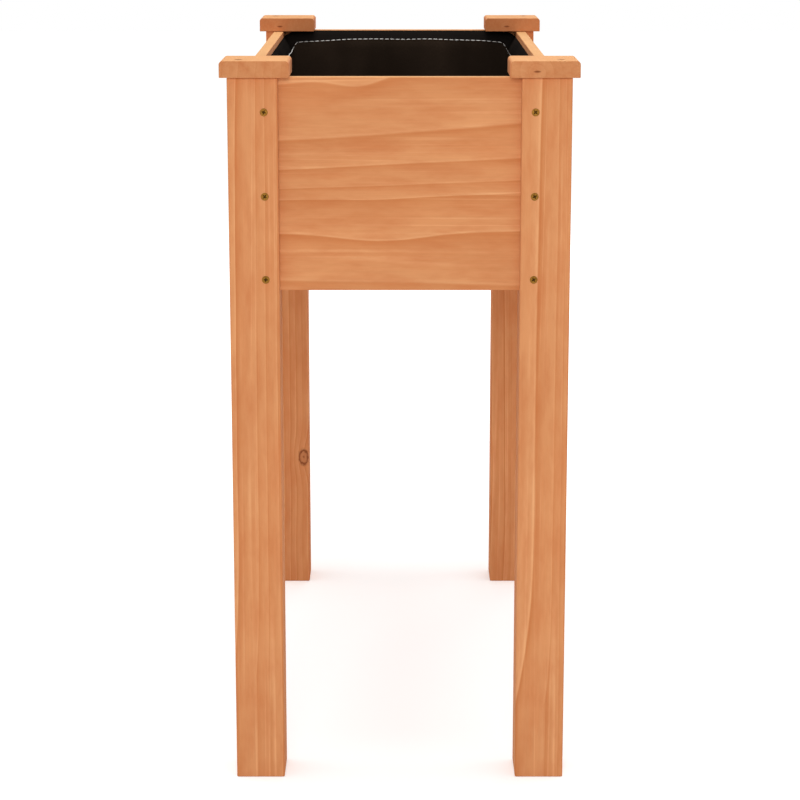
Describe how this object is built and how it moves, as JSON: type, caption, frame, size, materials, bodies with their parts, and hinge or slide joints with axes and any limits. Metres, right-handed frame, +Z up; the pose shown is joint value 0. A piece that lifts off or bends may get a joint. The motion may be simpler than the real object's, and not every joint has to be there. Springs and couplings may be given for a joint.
{
  "type": "raised wooden planter",
  "caption": "Raised rectangular wooden planter on tall square legs with overhanging caps, screwed box boards, a slatted floor and a fabric liner.",
  "frame": {"origin": "on the ground under the middle of the planter", "axes": "+Z up; +Y along the planter from the end nearest the picture's camera to the far end; +X across it, to the right in the picture"},
  "size_m": [0.38, 0.8, 0.8],
  "materials": {
    "leg_wood": "satin honey stain over softwood, grain upright",
    "board_wood": "satin honey stain over softwood, grain along the board",
    "cap_wood": "satin honey stain over softwood, two rounded top edges",
    "inner_wood": "same stain, plainer, hidden under the liner",
    "liner_fabric": "black non-woven fabric with a pale stitched hem",
    "screw_zinc": "yellow zinc plated"
  },
  "bodies": {
    "root": {"leg_front_left": "leg_wood", "cap_front_left": "cap_wood", "cap_screw_front_left": "screw_zinc", "end_screw_front_left_1": "screw_zinc", "end_screw_front_left_2": "screw_zinc", "end_screw_front_left_3": "screw_zinc", "side_screw_front_left_1": "screw_zinc", "side_screw_front_left_2": "screw_zinc", "side_screw_front_left_3": "screw_zinc", "leg_front_right": "leg_wood", "cap_front_right": "cap_wood", "cap_screw_front_right": "screw_zinc", "end_screw_front_right_1": "screw_zinc", "end_screw_front_right_2": "screw_zinc", "end_screw_front_right_3": "screw_zinc", "side_screw_front_right_1": "screw_zinc", "side_screw_front_right_2": "screw_zinc", "side_screw_front_right_3": "screw_zinc", "leg_back_right": "leg_wood", "cap_back_right": "cap_wood", "cap_screw_back_right": "screw_zinc", "end_screw_back_right_1": "screw_zinc", "end_screw_back_right_2": "screw_zinc", "end_screw_back_right_3": "screw_zinc", "side_screw_back_right_1": "screw_zinc", "side_screw_back_right_2": "screw_zinc", "side_screw_back_right_3": "screw_zinc", "leg_back_left": "leg_wood", "cap_back_left": "cap_wood", "cap_screw_back_left": "screw_zinc", "end_screw_back_left_1": "screw_zinc", "end_screw_back_left_2": "screw_zinc", "end_screw_back_left_3": "screw_zinc", "side_screw_back_left_1": "screw_zinc", "side_screw_back_left_2": "screw_zinc", "side_screw_back_left_3": "screw_zinc", "side_board_left": "board_wood", "ledger_left": "inner_wood", "ledger_screw_left_1": "screw_zinc", "ledger_screw_left_2": "screw_zinc", "ledger_screw_left_3": "screw_zinc", "side_board_right": "board_wood", "ledger_right": "inner_wood", "ledger_screw_right_1": "screw_zinc", "ledger_screw_right_2": "screw_zinc", "ledger_screw_right_3": "screw_zinc", "end_board_front": "board_wood", "end_board_back": "board_wood", "floor_slat_1": "inner_wood", "floor_slat_2": "inner_wood", "floor_slat_3": "inner_wood", "floor_slat_4": "inner_wood", "floor_slat_5": "inner_wood", "floor_slat_6": "inner_wood", "floor_slat_7": "inner_wood", "floor_slat_8": "inner_wood", "liner": "liner_fabric"}
  },
  "joints": []
}
